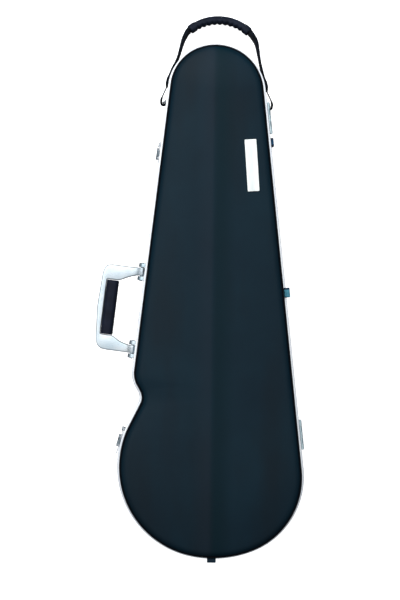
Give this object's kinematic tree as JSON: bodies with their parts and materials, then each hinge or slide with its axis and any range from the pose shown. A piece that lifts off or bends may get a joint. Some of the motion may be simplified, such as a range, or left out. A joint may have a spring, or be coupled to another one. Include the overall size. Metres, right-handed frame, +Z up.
{
  "type": "alto saxophone case",
  "caption": "Hard-shelled alto saxophone case with aluminium rims, draw latches, folding side handle, carrying strap, hinged lid and a fitted, padded inside.",
  "frame": {"origin": "on the floor under the middle of the case's footprint, strap and handle included, with the case lying on its back feet", "axes": "+Z up through the lid, +Y along the case towards its narrow end and the carrying strap, +X towards the hinges"},
  "size_m": [0.2838, 0.7478, 0.1669],
  "materials": {
    "black_leather": "smooth black",
    "black_plastic": "moulded, dark blue-black",
    "black_rubber": "matte",
    "black_webbing": "woven, near black",
    "blackened_steel": "blackened",
    "brushed_plate": "brushed, bare",
    "dark_blue_rubber": "matte, dark blue",
    "grey_plush_foam": "short-pile plush over foam",
    "moulded_shell": "satin, dark blue-green grey",
    "plated_steel": "nickel plated",
    "satin_aluminium": "satin"
  },
  "bodies": {
    "base": {"back_foot_narrow_left": "black_rubber", "back_foot_narrow_right": "black_rubber", "back_foot_wide_left": "black_rubber", "back_foot_wide_right": "black_rubber", "base_foam": "grey_plush_foam", "base_rim": "satin_aluminium", "base_shell": "moulded_shell", "end_foot": "dark_blue_rubber", "handle_bracket_lower": "satin_aluminium", "handle_bracket_upper": "satin_aluminium", "handle_pin_lower": "plated_steel", "handle_pin_upper": "plated_steel", "hinge_lower_base_leaf": "plated_steel", "hinge_lower_pin": "plated_steel", "hinge_upper_base_leaf": "plated_steel", "hinge_upper_pin": "plated_steel", "latch_lower_base": "plated_steel", "latch_upper_base": "plated_steel", "rim_seal": "black_rubber", "side_bumper_middle": "dark_blue_rubber", "side_bumper_upper": "dark_blue_rubber", "strap_lug_left": "plated_steel", "strap_lug_right": "plated_steel"},
    "handle": {"handle_frame": "satin_aluminium", "handle_grip": "black_leather"},
    "latch_upper_lever": {"latch_upper_lever": "satin_aluminium", "latch_upper_claw_pin": "plated_steel"},
    "latch_upper_claw": {"latch_upper_claw": "blackened_steel"},
    "latch_lower_lever": {"latch_lower_lever": "satin_aluminium", "latch_lower_claw_pin": "plated_steel"},
    "latch_lower_claw": {"latch_lower_claw": "blackened_steel"},
    "lid": {"lid_shell": "moulded_shell", "lid_rim": "satin_aluminium", "lid_pad": "grey_plush_foam", "name_plate": "brushed_plate", "lid_side_bumper": "dark_blue_rubber", "lid_end_foot": "dark_blue_rubber", "latch_upper_keeper": "satin_aluminium", "latch_lower_keeper": "satin_aluminium", "hinge_upper_lid_leaf": "plated_steel", "hinge_lower_lid_leaf": "plated_steel"},
    "strap": {"strap_grip": "black_plastic", "strap_webbing_left": "black_webbing", "strap_hook_left": "blackened_steel", "strap_eye_left": "plated_steel", "strap_webbing_right": "black_webbing", "strap_hook_right": "blackened_steel", "strap_eye_right": "plated_steel"},
    "neck_lid": {"neck_compartment_lid": "grey_plush_foam", "neck_compartment_tab": "black_webbing"}
  },
  "joints": [
    {"name": "lid_hinge", "type": "hinge", "parent": "base", "child": "lid", "pos_m": [0.13868, -0.20245, 0.1], "axis": [-0.0993, 0.9951, 0], "range_deg": [0, 105]},
    {"name": "handle_fold", "type": "hinge", "parent": "base", "child": "handle", "pos_m": [-0.08529, -0.03386, 0.079], "axis": [0.1258, 0.9921, 0], "range_deg": [-75, 70]},
    {"name": "strap_swing", "type": "hinge", "parent": "base", "child": "strap", "pos_m": [0.02341, 0.24771, 0.052], "axis": [0.9992, -0.0392, 0], "range_deg": [-0.5, 30]},
    {"name": "neck_lid_hinge", "type": "hinge", "parent": "base", "child": "neck_lid", "pos_m": [0.00536, 0.0542, 0.095], "axis": [0, 1, 0], "range_deg": [0, 90]},
    {"name": "latch_upper_lever_hinge", "type": "hinge", "parent": "base", "child": "latch_upper_lever", "pos_m": [-0.05662, 0.17955, 0.08], "axis": [0.1258, 0.9921, 0], "range_deg": [0, 110]},
    {"name": "latch_upper_claw_hinge", "type": "hinge", "parent": "latch_upper_lever", "child": "latch_upper_claw", "pos_m": [-0.05533, 0.17939, 0.069], "axis": [0.1258, 0.9921, 0], "range_deg": [-128.5, 0]},
    {"name": "latch_lower_lever_hinge", "type": "hinge", "parent": "base", "child": "latch_lower_lever", "pos_m": [-0.10951, -0.21072, 0.08], "axis": [0.2765, 0.961, 0], "range_deg": [0, 110]},
    {"name": "latch_lower_claw_hinge", "type": "hinge", "parent": "latch_lower_lever", "child": "latch_lower_claw", "pos_m": [-0.10826, -0.21108, 0.069], "axis": [0.2765, 0.961, 0], "range_deg": [-128.5, 0]}
  ],
  "couplings": [
    {"joint": "latch_upper_claw_hinge", "follows": "latch_upper_lever_hinge", "ratio": -1.1636},
    {"joint": "latch_lower_claw_hinge", "follows": "latch_lower_lever_hinge", "ratio": -1.1636}
  ]
}
